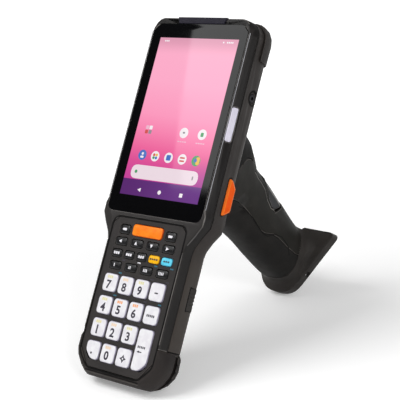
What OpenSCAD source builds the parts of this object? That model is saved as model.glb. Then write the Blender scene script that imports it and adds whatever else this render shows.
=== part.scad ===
// Portable barcode data terminal on a pistol grip, resting on its tail and the heel of the grip.
//
// Every piece is drawn in the terminal's own frame, in millimetres: X to the user's right, Y along
// the terminal towards the scanner end, Z out of the display, with the origin in the middle of the
// display's picture. stand() then leans the whole thing back onto the table.
//
// The head, keypad section and tail are one lofted form, cut at the parting plane into a front and
// a rear housing. The pistol grip is a second loft, made as two shells, a rubber palm and a foot.

/* [Display] */
// Width of the picture
lcd_w = 56.2; // [54:0.2:58]
// Length of the picture
lcd_l = 93.6; // [90:0.2:95]
// Border of the cover glass beside the picture
glass_side = 5.4; // [4:0.1:5.6]
// Border of the cover glass above the picture
glass_top = 7.4; // [6:0.1:7.8]
// Border of the cover glass below the picture
glass_foot = 10; // [8:0.1:10.2]
// Thickness of the cover glass
glass_t = 1.1; // [0.8:0.1:1.3]

/* [Head] */
// Picture's side to the side wall of the head
head_side = 9.9; // [9:0.1:13]
// Picture's upper edge to the scanner end
head_top = 11.7; // [11:0.1:16]
// Picture's lower edge to the shoulder under the screen
head_foot = 7.2; // [7:0.1:9]
// Depth of the head's back below the display
head_back = 19.7; // [18:0.1:23]
// Width of the bevel round the front of the head
bevel_w = 3.4; // [2:0.1:4.5]
// Depth of that bevel, which is also where the two housings part
parting_z = 3.5; // [3:0.1:4.5]
// Height of the front rim above the display
rim_z = 1.3; // [1:0.1:1.6]
// Wall of the housings
wall = 2.2; // [1.6:0.1:2.6]

/* [Keypad section and tail] */
// Width of the keypad section
deck_w = 61; // [60:1:66]
// Depth of the keypad section's back below the display
deck_back = 18.5; // [17:0.1:21]
// Length of the shoulder between head and keypad section
shoulder_len = 16; // [14:1:17]
// Shoulder under the screen to the tail end
tail_drop = 95; // [94:0.5:99]
// Length of the tail bumper
tail_len = 22.5; // [21:0.5:24]
// How far the tail bumper stands out past the keypad section
tail_out = 1; // [0.6:0.1:1.6]
// Depth of the tail bumper's lowest point below the display
tail_back = 20.5; // [19.5:0.1:23]
// Thickness of the strap slots in the tail's corners
strap_slot_t = 2.2; // [1.8:0.1:3]

/* [Keys] */
// Width of a number key
key_w = 10; // [9.4:0.1:10.3]
// Length of a number key
key_l = 10.1; // [9.4:0.1:10.4]
// Spacing of the key columns
key_pitch_x = 11.3; // [11.2:0.1:11.6]
// Spacing of the number rows
key_pitch_y = 12.65; // [12.5:0.05:12.8]
// Shoulder to the middle of the first number row
number_row_drop = 43.25; // [43:0.05:43.5]
// Length of a function key
fn_key_l = 4.6; // [4:0.1:4.8]
// Spacing of the function rows
fn_pitch_y = 6.85; // [6.7:0.05:6.9]
// Shoulder to the middle of the first function row
fn_row_drop = 12.6; // [12.2:0.1:12.8]
// Width of the front scan key
scan_key_w = 21.5; // [18:0.5:22.5]
// Travel of a key
key_travel = 0.6; // [0.3:0.1:0.6]
// Height of the number keys above the display
key_top_z = 1.9; // [1.7:0.1:2.4]

/* [Side controls] */
// Length of a side scan key
side_key_l = 20.5; // [16:0.5:23]
// Height of a side scan key
side_key_h = 7; // [5:0.5:7.5]
// Middle of the side scan keys along the terminal
side_key_y = -38.8; // [-40:0.1:-34]
// Length of the power key
power_key_l = 19; // [14:0.5:21]
// Length of a battery latch
latch_l = 12.4; // [10:0.2:14]
// Shoulder to the middle of the battery latches
latch_drop = 42.8; // [38:0.2:46]

/* [Battery] */
// Keypad section's side to the battery's cell block
cell_side = 5.5; // [5.3:0.1:8]
// Depth that the cell block reaches into the terminal
cell_h = 7.5; // [6:0.5:8]

/* [Pistol grip] */
// Depth where the neck meets the handle, below the display
neck_z = 57; // [55:0.5:58]
// Depth where the handle meets the foot, below the display
foot_z = 128; // [125:0.5:130]
// Width of the handle
grip_w = 32; // [30:0.5:36]
// Wall of the handle's shells
grip_wall = 2.4; // [1.8:0.1:2.6]
// Thickness of the rubber palm
palm_t = 1.8; // [1.2:0.1:2.2]
// Depth of the foot's sole below the display
sole_z = 145; // [143:0.5:149]
// Width of the foot at its toe
toe_w = 66; // [56:1:70]
// Width of the foot at its heel
heel_w = 19; // [16:1:24]
// Display centre to the toe, along the terminal
toe_y = 29; // [27:0.5:30]
// Display centre to the heel, along the terminal
heel_y = 72.5; // [71:0.5:76]
// Radius of the lanyard hole through the foot's edge
lanyard_r = 1.8; // [1.4:0.1:2.1]

/* [Trigger] */
// Width of the trigger's blade
trigger_w = 26; // [22:0.5:27]
// Radius of the trigger's pin
pin_r = 1.5; // [1.2:0.1:1.8]
// Degrees that the trigger swings when it is pulled
pull = 8; // [5:0.5:8]

/* [Fits] */
// Clearance between pieces that move past each other
gap = 0.3; // [0.25:0.05:0.35]
// Running clearance round the trigger pin
pin_fit = 0.05; // [0.03:0.01:0.09]

/* [Hidden] */
KEYS = [
    "key_shift_left", "key_scan", "key_shift_right",
    "key_arrow_left", "key_arrow_up", "key_arrow_down", "key_arrow_right",
    "key_tab", "key_escape", "key_back", "key_yellow", "key_cyan",
    "key_f1", "key_f2", "key_f3", "key_f4",
    "key_7", "key_8", "key_9", "key_minus",
    "key_4", "key_5", "key_6", "key_delete",
    "key_1", "key_2", "key_3", "key_enter",
    "key_point", "key_0", "key_menu"];

eps = 0.01;
far = 400;
// Hairline between fixed pieces that meet
seam = 0.15;
charcoal = "#3a3636";
graphite = "#2e2b29";
orange = "#ff7a18";

// ---- Lofting ---------------------------------------------------------------------------------

// Point at t along the curve from a to c that is pulled towards b
function bend(a, b, c, t) = (1 - t) * (1 - t) * a + 2 * t * (1 - t) * b + t * t * c;

// One corner of a path, rounded over a length r of both its sides by steps chords
function round_corner(before, p, after, r, steps) =
    let (a = p + (before - p) * r / norm(before - p),
         c = p + (after - p) * r / norm(after - p))
    [for (k = [0:steps]) bend(a, p, c, k / steps)];

// Closed outline, its corner i rounded over a length r[i]
function rounded(p, r, steps) =
    [for (i = [0:len(p) - 1])
        each round_corner(p[(i + len(p) - 1) % len(p)], p[i], p[(i + 1) % len(p)], r[i], steps)];

// Values at z on the smooth curve through stations, which are sorted by falling z
function at_height(s, z) =
    let (last = len(s) - 1,
         i = min(last - 1, len([for (k = [1:last]) if (s[k][0] > z) k])),
         f = (z - s[i][0]) / (s[i + 1][0] - s[i][0]),
         start = (s[i + 1] - s[max(i - 1, 0)]) / (i == 0 ? 1 : 2),
         end = (s[min(i + 2, last)] - s[i]) / (i == last - 1 ? 1 : 2),
         f2 = f * f,
         f3 = f2 * f)
    (2 * f3 - 3 * f2 + 1) * s[i] + (f3 - 2 * f2 + f) * start
        + (3 * f2 - 2 * f3) * s[i + 1] + (f3 - f2) * end;

// Closed solid through rings of equal length, the first and last capped
module skin(rings) {
    n = len(rings[0]);
    last = len(rings) - 1;
    sides = [for (i = [0:last - 1], j = [0:n - 1])
        let (k = (j + 1) % n)
        [i * n + j, i * n + k, (i + 1) * n + k, (i + 1) * n + j]];
    polyhedron(
        points = [for (ring = rings, p = ring) p],
        faces = concat(
            [[for (j = [n - 1:-1:0]) j]],
            sides,
            [[for (j = [0:n - 1]) last * n + j]]),
        convexity = 6);
}

// Rectangle with true round corners
module rounded_rect(w, l, r) {
    square([w - 2 * r, l], center = true);
    square([w, l - 2 * r], center = true);
    for (x = [-1, 1], y = [-1, 1])
        translate([x * (w / 2 - r), y * (l / 2 - r)]) circle(r, $fn = 24);
}

// Upright block between two heights, its upright edges truly round
module rounded_block(w, l, r, z0, z1) {
    translate([0, 0, z0]) linear_extrude(z1 - z0) rounded_rect(w, l, r);
}

// Block given by its two corners
module box(low, high) {
    translate(low) cube(high - low);
}

// Outline in Y and Z carried across X, centred
module across(w) {
    rotate([90, 0, 90]) translate([0, 0, -w / 2]) linear_extrude(w) children();
}

// Cylinder along X, centred
module bar(r, w) {
    rotate([0, 90, 0]) cylinder(r = r, h = w, center = true, $fn = 32);
}

module both_sides() {
    children();
    mirror([1, 0, 0]) children();
}

// ---- Body form: head, shoulder, keypad section and tail --------------------------------------

head_half = lcd_w / 2 + head_side;
head_up = lcd_l / 2 + head_top;
head_down = lcd_l / 2 + head_foot;
tail_y = head_down + tail_drop;
deck_half = deck_w / 2;
tail_half = deck_half + tail_out;
top_r = 9;
deck_bevel = 3.2;
deck_side_z = parting_z + 0.6;
tail_front_y = -tail_y + tail_len;
deck_top_y = -head_down - shoulder_len;
side_foot = 5;
back_in = 4.5;

// Length of the tail's last facet, how far its end lies above the tail's lowest point, and how far
// the front dips before it
tip_len = 1.8;
tip_dip = 0.4;
tail_lift = 6.5;

// Cross-section ring from [y, rim half width, side half width, rim z, side's top z, side's foot z,
// back half width, back z], every corner rounded
function body_ring(s) =
    let (path = [[0, s[3]], [s[1], s[3]], [s[2], s[4]], [s[2], s[5]], [s[6], s[7]], [0, s[7]]],
         r = [0, 1, 1.6, 3, 2.4],
         right = [for (i = [1:4]) each round_corner(path[i - 1], path[i], path[i + 1], r[i], 2)],
         last = len(right) - 1)
    [for (i = [0:2 * last + 1])
        i <= last ? [right[i][0], s[0], right[i][1]]
            : [-right[2 * last + 1 - i][0], s[0], right[2 * last + 1 - i][1]]];

// Head stations near the scanner end, which follow a quarter circle in plan. A grow above 0
// gives the larger form of what wraps the head. The first station lies past the flat end, so that
// square_end() cuts it as one plane
function head_end(grow) =
    let (arc = [for (a = [90:-22.5:0])
        let (in = top_r * (1 - cos(a)) - grow)
        [head_up - top_r + (top_r + grow) * sin(a),
         head_half - bevel_w - 0.7 * in, head_half - in, rim_z, -parting_z,
         -head_back + side_foot, head_half - back_in - in,
         -head_back + 2.5 * (1 - cos(a)) - grow]])
    [2 * arc[0] - arc[1], for (i = [1:len(arc) - 1]) arc[i]];

module square_end(grow = 0) {
    intersection() {
        children();
        box([-far, -far, -far], [far, head_up + grow, far]);
    }
}

// A station of the head's straight stretch, in from its full width by in, its rim out by flare
function head_station(y, in, flare = 0) =
    [y, head_half - bevel_w - in + flare, head_half - in, rim_z, -parting_z,
     -head_back + side_foot, head_half - back_in - in, -head_back];

// A station of the keypad section, out from its full width by out, its rim by flare more
function deck_station(y, out, flare = 0) =
    [y, deck_half - deck_bevel + out + flare, deck_half + out, rim_z, -deck_side_z,
     -deck_back + 4, deck_half - 4 + out, -deck_back];

// A station of the tail, in from its full width by in and up from its full depth by rise
function tail_station(y, in, rise, dip = 0) =
    [y, tail_half - deck_bevel - 1.3 * in, tail_half - in, rim_z - dip, -deck_side_z,
     -tail_back + side_foot + rise, tail_half - back_in - in, -tail_back + rise];

body_stations = concat(
    head_end(0),
    [head_station(-head_down + 4.5, 0), head_station(-head_down + 1, -0.3, 0.9),
     head_station(-head_down - 4.5, 0.2, 1.3), deck_station(-head_down - 10, 3.6, 1.8),
     deck_station(deck_top_y + 0.5, 0.7, 1), deck_station(deck_top_y - 4, 0),
     deck_station(tail_front_y, 0)]);

tail_stations = [
    deck_station(tail_front_y - seam, 0),
    tail_station(tail_front_y - 2.5, 0, 0.4),
    tail_station(-tail_y + 13.5, 0, 0),
    tail_station(-tail_y + 9.5, 1.2, 0),
    tail_station(-tail_y + 5, 4, 0.8, 0.1),
    tail_station(-tail_y + tip_len, 7, 3.6, tip_dip),
    tail_station(-tail_y, 9.6, tail_lift, 2.2)];

module body_form() square_end() skin([for (s = body_stations) body_ring(s)]);
module tail_form() skin([for (s = tail_stations) body_ring(s)]);

// Straight length of the keypad section's cross-section
module deck_form(y0, y1) skin([body_ring(deck_station(y1, 0)), body_ring(deck_station(y0, 0))]);

// ---- Stack behind the front face -------------------------------------------------------------

plate_t = 2.1;
plate_z = rim_z - 0.2;
plate_half = deck_half - 4.4;
plate_top_y = -head_down - 5.6;
plate_end_y = -tail_y + 4.6;
plate_corner = 10.4;
key_foot_z = plate_z - plate_t - 0.8;
sheet_z = key_foot_z - key_travel - 0.1;
sheet_t = 0.7;
board_z = sheet_z - sheet_t - 0.1;
board_t = 1.4;
glass_z = rim_z - 0.1;
glass_w = lcd_w + 2 * glass_side;
glass_l = lcd_l + glass_top + glass_foot;
glass_drop = (glass_foot - glass_top) / 2;
panel_t = 3;
panel_edge = 2;
cover_t = 3;
cover_z = -deck_back + cover_t;
bay_z = cover_z + cell_h;
bay_y0 = tail_front_y;
bay_y1 = deck_top_y + 0.2;
room_half = head_half - wall - 2.3;
room_y0 = -head_down + 3;
room_y1 = head_up - 8;
room_top_z = -1.2;

// Outline of the keypad plate, its lower corners cut off and its upper ones eased
module plate_outline(grow = 0) {
    h = plate_half + grow;
    top = plate_top_y + grow;
    end = plate_end_y - grow;
    cut = plate_corner;
    ease = 4;
    polygon([[-h + ease, top], [-h, top - ease], [-h, end + cut], [-h + cut * 0.75, end],
             [h - cut * 0.75, end], [h, end + cut], [h, top - ease], [h - ease, top]]);
}

module plate_pocket() {
    translate([0, 0, plate_z - plate_t - seam]) linear_extrude(far) plate_outline(gap);
}

// Room under the plate for the keys, the dome sheet and the board, with the slit through which
// the board runs on into the head
module key_room() {
    half = plate_half - 1.5;
    floor_z = board_z - board_t - gap;
    box([-half, plate_end_y + 3, floor_z], [half, plate_top_y - 2, 0]);
    box([-half, plate_top_y - 2 - eps, floor_z], [half, room_y0 + 1, board_z + gap]);
}

module glass_pocket() {
    translate([0, -glass_drop, 0])
        rounded_block(glass_w + 2 * seam, glass_l + 2 * seam, 5, glass_z - glass_t - seam, far);
    rounded_block(lcd_w + 2 * panel_edge + 1, lcd_l + 2 * panel_edge + 1, 2, -far, 0);
}

// ---- Housings --------------------------------------------------------------------------------

screw_r = 1.2;
screw_head_r = 2.3;
screw_head_t = 1.6;
screw_sink = 2.4;
side_screw_l = 5;
side_screw_y = 17.5;
side_screw_z = -11.8;
side_well_r = 4;
back_screw_l = head_back - screw_sink - 1.5;
back_screws = [for (x = [-1, 1], y = [head_up - 6, -head_down + 0.5]) [x * (head_half - 10), y]];
neck_screw_l = 6;
neck_flange = 3.2;
neck_screws = [for (x = [-8, 8], y = [-4, -40]) [x, y]];

// Screw with its head at the origin, its shank along -Z
module screw(l) {
    difference() {
        cylinder(r = screw_head_r, h = screw_head_t, $fn = 32);
        translate([0, 0, 0.6]) cylinder(r = 1.1, h = screw_head_t, $fn = 6);
    }
    translate([0, 0, -l]) cylinder(r = screw_r, h = l + eps, $fn = 24);
}

module screw_well(l) {
    translate([0, 0, -eps]) cylinder(r = screw_head_r + gap, h = 20, $fn = 32);
    translate([0, 0, -l - seam]) cylinder(r = screw_r + 0.1, h = l + 1, $fn = 24);
}

// Places children where the back screws go, their +Z out of the back
module at_back_screws() {
    for (p = back_screws)
        translate([p[0], p[1], -head_back + screw_sink]) rotate([180, 0, 0]) children();
}

module at_side_screws() {
    both_sides()
        translate([head_half - screw_sink, side_screw_y, side_screw_z])
            rotate([0, 90, 0]) children();
}

module front_housing() color(charcoal)
    difference() {
        body_form();
        box([-far, -far, -far], [far, far, -parting_z]);
        plate_pocket();
        key_room();
        glass_pocket();
        inner_room();
        scan_bezel_block(seam);
        power_key_pocket();
        at_back_screws() screw_well(back_screw_l);
    }

// Hollow of the head, shared by both housings
module inner_room() {
    translate([0, (room_y0 + room_y1) / 2, 0])
        rounded_block(2 * room_half, room_y1 - room_y0, 4, -head_back + wall, room_top_z);
}

// Room that carries the scan engine on from the head's hollow to the scanner end's cap
module engine_room() {
    box([-engine_w / 2 - gap, room_y1 - 4, engine_z0 - gap],
        [engine_w / 2 + gap, bezel_y, -parting_z + eps]);
}

module rear_housing() color(charcoal)
    difference() {
        body_form();
        box([-far, -far, -parting_z], [far, far, far]);
        inner_room();
        engine_room();
        key_room();
        // Battery bay: the cover's slab right across, the cell block's well and the contacts' slit
        box([-far, bay_y0 - 1, -far], [far, bay_y1, cover_z]);
        cell_block(gap, cover_z - 1);
        contacts(gap, bay_z, board_z - board_t);
        scan_bezel_block(seam);
        both_sides() side_key_block(gap, side_key_x - key_travel - seam, head_half + 5);
        both_sides() latch_block(gap, latch_x - latch_press - seam, far);
        at_side_screws() screw_well(side_screw_l);
        at_side_screws()
            translate([0, 0, screw_head_t]) cylinder(r = side_well_r, h = 9, $fn = 48);
        at_back_screws() screw_well(back_screw_l);
        for (p = neck_screws)
            translate([p[0], p[1], -head_back - 1]) cylinder(r = screw_r + 0.1, h = 5, $fn = 24);
    }

strap_slot_z = -12.2;

// Rubber-edged end piece round the lower end, with a strap slot round each corner
module tail_bumper() color(graphite)
    difference() {
        tail_form();
        plate_pocket();
        key_room();
        both_sides() translate([0, 0, strap_slot_z]) linear_extrude(strap_slot_t) strap_slot();
        dock_block(seam, 3.2);
    }

// Plan of a strap slot: what lies outside the tail's core, along the side and round the corner
module strap_slot() {
    core = tail_half - 4.5;
    difference() {
        translate([12, -tail_y - 5]) square([far, tail_len + 3.6]);
        polygon([[0, 0], [core, 0], [core, -tail_y + 13], [core - 10.5, -tail_y + 4.5],
                 [0, -tail_y + 4.5]]);
    }
}

// ---- Scanner end -----------------------------------------------------------------------------

bezel_w = 32;
bezel_y = head_up - 3.4;
bezel_front_z = rim_z + 0.7;
bezel_h = 18.5;
bezel_out = 0.4;
window_w = 27;
window_h = 9;
window_z = -8.2;
window_t = 1.4;
window_sink = 2.4;
engine_w = 24;
engine_l = 13;
engine_y1 = bezel_y - 1;
engine_z0 = window_z - 6.2;
engine_z1 = -parting_z - gap;

// The scanner end's cap: a block with sloped ends, set into both housings
module scan_bezel_block(grow) {
    half = bezel_w / 2 + grow;
    slope = 1.6;
    translate([0, 0, bezel_front_z - bezel_h - grow]) linear_extrude(bezel_h + grow)
        polygon([[-half, bezel_y - grow], [half, bezel_y - grow],
                 [half + slope, head_up + bezel_out], [-half - slope, head_up + bezel_out]]);
}

module window_hole(grow, y0, y1) {
    translate([0, y1, window_z]) rotate([90, 0, 0])
        linear_extrude(y1 - y0) rounded_rect(window_w + 2 * grow, window_h + 2 * grow, 2);
}

module scan_bezel() color("#4b4757")
    difference() {
        scan_bezel_block(0);
        window_hole(seam, head_up - window_sink, head_up + 5);
        window_hole(-1.2, 0, head_up);
    }

module scan_window() color("#3a0d12")
    window_hole(0, head_up - window_sink + eps, head_up - window_sink + window_t);

module scan_engine() color("#20242a") {
    difference() {
        box([-engine_w / 2, engine_y1 - engine_l, engine_z0], [engine_w / 2, engine_y1, engine_z1]);
        // Camera lens and aimer
        translate([-5, engine_y1 - 2, window_z]) rotate([-90, 0, 0]) cylinder(r = 3, h = 9, $fn = 32);
        translate([5.5, engine_y1 - 1.2, window_z])
            rotate([-90, 0, 0]) cylinder(r = 2, h = 9, $fn = 32);
    }
    // Foot that carries it on the rear housing's floor
    box([-engine_w / 2 + 3, engine_y1 - engine_l, -head_back + wall + seam],
        [engine_w / 2 - 3, room_y1 - 2, engine_z0 + eps]);
}

// Rubber guards over the two back corners of the scanner end
guard_t = 1.2;
guard_l = 20.5;
guard_in = 14;
guard_top_z = parting_z + 5;
module corner_guards() color(graphite)
    both_sides() difference() {
        intersection() {
            skin([for (s = concat(head_end(guard_t), [head_station(head_up - guard_l, -guard_t)]))
                body_ring([s[0], s[1], s[2], s[3], s[4], s[5], s[6], min(s[7], -head_back - 0.4)])]);
            box([head_half - guard_in, head_up - guard_l, -far],
                [far, head_up + guard_t, -guard_top_z]);
        }
        square_end(0.05)
            skin([for (s = concat(head_end(0.05), [head_station(head_up - 2 * guard_l, -0.05)]))
                body_ring(s)]);
        scan_bezel_block(1);
    }

// ---- Display and boards ----------------------------------------------------------------------

module display_glass() color("#0b0b0d")
    translate([0, -glass_drop, 0])
        rounded_block(glass_w, glass_l, 4.8, glass_z - glass_t, glass_z);

module display_panel() color("#1d1a24")
    rounded_block(lcd_w + 2 * panel_edge, lcd_l + 2 * panel_edge, 1.5,
        glass_z - glass_t - panel_t, glass_z - glass_t - eps);

module dome_sheet() color("#5a5a5a")
    box([-plate_half + 2, plate_end_y + 3.4, sheet_z - sheet_t],
        [plate_half - 2, plate_top_y - 2.4, sheet_z]);

// Main board, from under the keypad to the scan engine, with the parts it carries
module main_board() color("#1f5b3a") {
    half = plate_half - 2.6;
    low_z = board_z - board_t;
    chip_t = 1.2;
    box([-half, tail_front_y + 3, low_z], [half, engine_y1 - engine_l - 3, board_z]);
    for (c = [[-8, -30, 14, 14], [10, -34, 10, 12], [-6, 0, 18, 12], [10, 18, 8, 8]])
        translate([c[0], c[1], low_z - chip_t]) cube([c[2], c[3], chip_t + eps]);
    contacts(0, bay_z + gap, low_z + eps);
}

// Row of battery contacts from the board down towards the cell block, or the slit round them
module contacts(grow, z0, z1) {
    l = 4;
    y = (bay_y0 + bay_y1 + cell_l) / 2 - l;
    if (grow > 0)
        box([-7 - grow, y - l / 2 - grow, z0 - eps], [7 + grow, y + l / 2 + grow, z1 + eps]);
    else
        for (x = [-6:4:6])
            box([x - 1, y - l / 2, z0], [x + 1, y + l / 2, z1]);
}

// ---- Battery and its latches -----------------------------------------------------------------

cell_l = bay_y1 - bay_y0 - 9;
cell_w = deck_w - 2 * cell_side;
latch_h = 6;
latch_y = -head_down - latch_drop;
latch_z = -12;
latch_press = 1.2;
latch_x = deck_half - 3.2;
latch_rib_r = 0.7;

module cell_block(grow, z0) {
    translate([0, (bay_y0 + bay_y1) / 2, 0])
        rounded_block(cell_w + 2 * grow, cell_l + 2 * grow, 2 + grow, z0, bay_z + grow);
}

module battery_pack() color("#242222") {
    difference() {
        intersection() {
            deck_form(bay_y0 + gap, bay_y1 - gap);
            box([-far, -far, -far], [far, far, cover_z - gap]);
        }
        // Finger ribs across the cover
        for (y = [bay_y0 + 7:3:bay_y0 + 19])
            translate([0, y, -deck_back]) bar(0.6, 30);
    }
    cell_block(0, cover_z - gap - eps);
}

module latch_block(grow, x0, x1) {
    translate([x0, latch_y, latch_z]) rotate([90, 0, 90])
        linear_extrude(x1 - x0) square([latch_l + 2 * grow, latch_h + 2 * grow], center = true);
}

module battery_latch_right() color("#45413f")
    difference() {
        latch_block(0, latch_x, deck_half - 0.4);
        for (y = [-3:2:3])
            translate([deck_half, latch_y + y, latch_z])
                cylinder(r = latch_rib_r, h = far, center = true, $fn = 16);
    }

module battery_latch_left() mirror([1, 0, 0]) battery_latch_right();

// ---- Side keys -------------------------------------------------------------------------------

side_key_z = -12.3;
side_key_out = 0.9;
side_key_x = head_half - 2.8;
power_key_w = 3.6;
power_key_t = 1.3;
power_key_out = 0.6;
power_travel = 0.3;
bevel_tilt = atan2(parting_z + rim_z, bevel_w);

// Side scan key: a bar with sloped ends, shorter towards the back
module side_key_block(grow, x0, x1) {
    l = side_key_l / 2 + grow;
    h = side_key_h / 2 + grow;
    translate([x0, side_key_y, side_key_z]) rotate([90, 0, 90]) linear_extrude(x1 - x0)
        polygon([[-l, h], [l - 0.6, h], [l, h - 1.6], [l - 4, -h], [-l + 3, -h], [-l, h - 1.6]]);
}

module scan_key_right() color(orange)
    hull() {
        side_key_block(0, side_key_x, head_half);
        side_key_block(-0.8, side_key_x, head_half + side_key_out);
    }

module scan_key_left() mirror([1, 0, 0]) scan_key_right();

// Puts children on the right bevel, their +Z out of it, a little above its middle
module on_bevel() {
    translate([head_half - bevel_w / 2, -1, (rim_z - parting_z) / 2])
        rotate([0, bevel_tilt, 0]) translate([-0.25, 0, 0]) children();
}

module power_key() color("#bdb7cc")
    on_bevel() rounded_block(power_key_w, power_key_l, 1, power_key_out - power_key_t, power_key_out);

module power_key_pocket() {
    floor_z = power_key_out - power_key_t - power_travel - 0.1;
    on_bevel() rounded_block(power_key_w + 2 * gap, power_key_l + 2 * gap, 1 + gap, floor_z, 3);
}

// ---- Keys ------------------------------------------------------------------------------------

black = "#17171a";
white = "#eeebf2";
number_rows = [for (r = [0:3]) -head_down - number_row_drop - r * key_pitch_y];
fn_rows = [for (r = [0:3]) -head_down - fn_row_drop - r * fn_pitch_y];
function column(c) = (c - 1.5) * key_pitch_x;
function five(c) = (c - 2) * 9;
fn_w = 8.6;
five_w = 7.2;
fn_top_z = key_top_z - 0.4;
fn_corner = 1.3;
number_corner = 1.5;
key_gap = 0.2;

// Every key in the order of KEYS: [x, y, width, length, corner, top z, colour, cut corner]
key_table = [
    [column(0) + 0.5, fn_rows[0], fn_w - 1, fn_key_l + 0.6, fn_corner, fn_top_z, black, 0],
    [0, fn_rows[0] + 0.5, scan_key_w, fn_key_l + 2, fn_corner + 0.4, key_top_z, orange, 0],
    [column(3) - 0.5, fn_rows[0], fn_w - 1, fn_key_l + 0.6, fn_corner, fn_top_z, black, 0],
    for (c = [0:3]) [column(c), fn_rows[1], fn_w, fn_key_l, fn_corner, fn_top_z, black, 0],
    for (c = [0:2]) [five(c), fn_rows[2], five_w, fn_key_l, fn_corner, fn_top_z, black, 0],
    [five(3), fn_rows[2], five_w + 0.6, fn_key_l, fn_corner, fn_top_z, "#f7b51d", 0],
    [five(4), fn_rows[2], five_w + 0.6, fn_key_l, fn_corner, fn_top_z, "#55c5e8", 0],
    for (c = [0:3]) [column(c), fn_rows[3], fn_w, fn_key_l, fn_corner, fn_top_z, black, 0],
    for (r = [0:1], c = [0:3])
        [column(c), number_rows[r], key_w, key_l, number_corner, key_top_z, white, 0],
    for (c = [0:2]) [column(c), number_rows[2], key_w, key_l, number_corner, key_top_z, white, 0],
    [column(3), (number_rows[2] + number_rows[3]) / 2, key_w, key_l + key_pitch_y,
        number_corner, key_top_z, white, 1],
    [column(0), number_rows[3], key_w, key_l, number_corner, key_top_z, white, -1],
    for (c = [1:2]) [column(c), number_rows[3], key_w, key_l, number_corner, key_top_z, white, 0]];

// Plan of key k, grown all round; two of the keys have their outer lower corner cut off
module key_outline(k, grow) {
    w = k[2] / 2 + grow;
    l = k[3] / 2 + grow;
    side = k[7];
    cut = 4.6;
    translate([k[0], k[1]]) difference() {
        rounded_rect(2 * w, 2 * l, k[4] + grow);
        if (side != 0)
            polygon([[side * (w + 1), -l - 1], [side * (w + 1), -l + cut - grow],
                     [side * (w - cut + grow), -l - 1]]);
    }
}

// One key: cap with a stepped edge, standing on a narrower foot over its dome
module key_cap(k) {
    top = k[5];
    lip = 0.5;
    foot = 1.2;
    color(k[6]) {
        translate([0, 0, key_foot_z + foot]) linear_extrude(top - lip - key_foot_z - foot)
            key_outline(k, 0);
        translate([0, 0, top - lip - eps]) linear_extrude(lip + eps) key_outline(k, -lip);
        translate([0, 0, key_foot_z]) linear_extrude(foot + eps) key_outline(k, -0.8);
    }
}

module keypad_plate() color("#45403e")
    difference() {
        translate([0, 0, plate_z - plate_t]) linear_extrude(plate_t) plate_outline();
        translate([0, 0, -far / 2]) linear_extrude(far)
            for (k = key_table) key_outline(k, key_gap);
    }

// ---- Pistol grip -----------------------------------------------------------------------------

back_z = -head_back;
grip_half = grip_w / 2;
ring_points = 24;
squareness = 2.6;

// Stations of the neck and handle: [z, front y, palm y, half width]
grip_stations = [
    [back_z - 0.05, 24, -50, grip_half + 8.6],
    [back_z - 10, 18, -49, grip_half + 4.8],
    [back_z - 24, 12.5, -48, grip_half + 2.4],
    [-58, 6.5, -48, grip_half + 0.6],
    [-67, -5, -49, grip_half + 0.1],
    [-80, -9, -51.3, grip_half],
    [-104, -19, -58.6, grip_half],
    [-128, -28.5, -65, grip_half],
    [-134, -31, -66.5, grip_half]];

function power_of(v, e) = sign(v) * pow(abs(v), e);

// Ring round the grip at height z, drawn in by inset
function grip_ring(z, inset) =
    let (s = at_height(grip_stations, z),
         middle = (s[1] + s[2]) / 2,
         deep = (s[1] - s[2]) / 2 - inset,
         e = 2 / squareness)
    [for (i = [0:ring_points - 1])
        let (a = (i + 0.5) * 360 / ring_points)
        [(s[3] - inset) * power_of(cos(a), e), middle + deep * power_of(sin(a), e), z]];

// Stretch of the grip between two heights
module grip_form(z1, z0, inset, steps) {
    skin([for (i = [0:steps]) grip_ring(z1 + (z0 - z1) * i / steps, inset)]);
}

// Outline with every edge moved out by g; its points run anticlockwise
function edge_out(a, b) = let (d = (b - a) / norm(b - a)) [d[1], -d[0]];
function grown(p, g) =
    [for (i = [0:len(p) - 1])
        let (m = edge_out(p[(i + len(p) - 1) % len(p)], p[i]),
             n = edge_out(p[i], p[(i + 1) % len(p)]))
        p[i] + (m + n) * g / (1 + m * n)];

// Side view of the neck: all that is above and in front of its arched seam with the shells
seam_back_z = -32;
neck_side = [[far, 0], [-far, 0], [-far, seam_back_z], [seam_back_z, seam_back_z], [-18.2, -40],
             [-11.5, -44.5], [-7.2, -49.8], [-6.5, -54], [-7.5, -neck_z], [far, -neck_z]];

// Side view of where the rubber palm lies: all that is behind its wavy seam
palm_top_z = seam_back_z - 2;
palm_side = [[-33, 0], [-far, 0], [-far, -far], [-48.5, -far], [-48, -124], [-46, -113], [-43, -102],
             [-42.2, -95], [-43.4, -88], [-42.8, -83], [-38.6, -72], [-35, -62], [-33, -52]];

// Inner side of the palm, which the shells' recess shares
module palm_bed() {
    grip_form(palm_top_z + 2, -foot_z - 2, palm_t, 14);
}

module palm_recess() {
    intersection() {
        across(far) polygon(palm_side);
        difference() {
            grip_form(palm_top_z, -foot_z - 1, -1, 14);
            palm_bed();
        }
    }
}

pin_y = -15;
pin_z = -61.2;
pin_l = 27;
boss_r = 3.4;
boss_w = 14;
well_half = boss_w / 2 + 3.3;
switch_y = -26;
switch_z = -70;
switch_w = 12;
switch_l = 7.9;
plunger_r = 1.8;

// Side view of the trigger's blade, open to the front, and the back edge of its arm from the pin
// down into the blade
blade_top_z = -78.5;
blade_foot_z = -102.5;
blade_side = [[far, blade_top_z], [-15, blade_top_z - 1.1], [-18, -82.2], [-22.3, -82.6],
              [-26.5, -87.1], [-29, -91.8], [-24.4, -99.2], [-17, blade_foot_z],
              [far, blade_foot_z]];
arm_back = [[-18.4, pin_z], [-20.5, -75], [-23, -84]];

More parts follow.
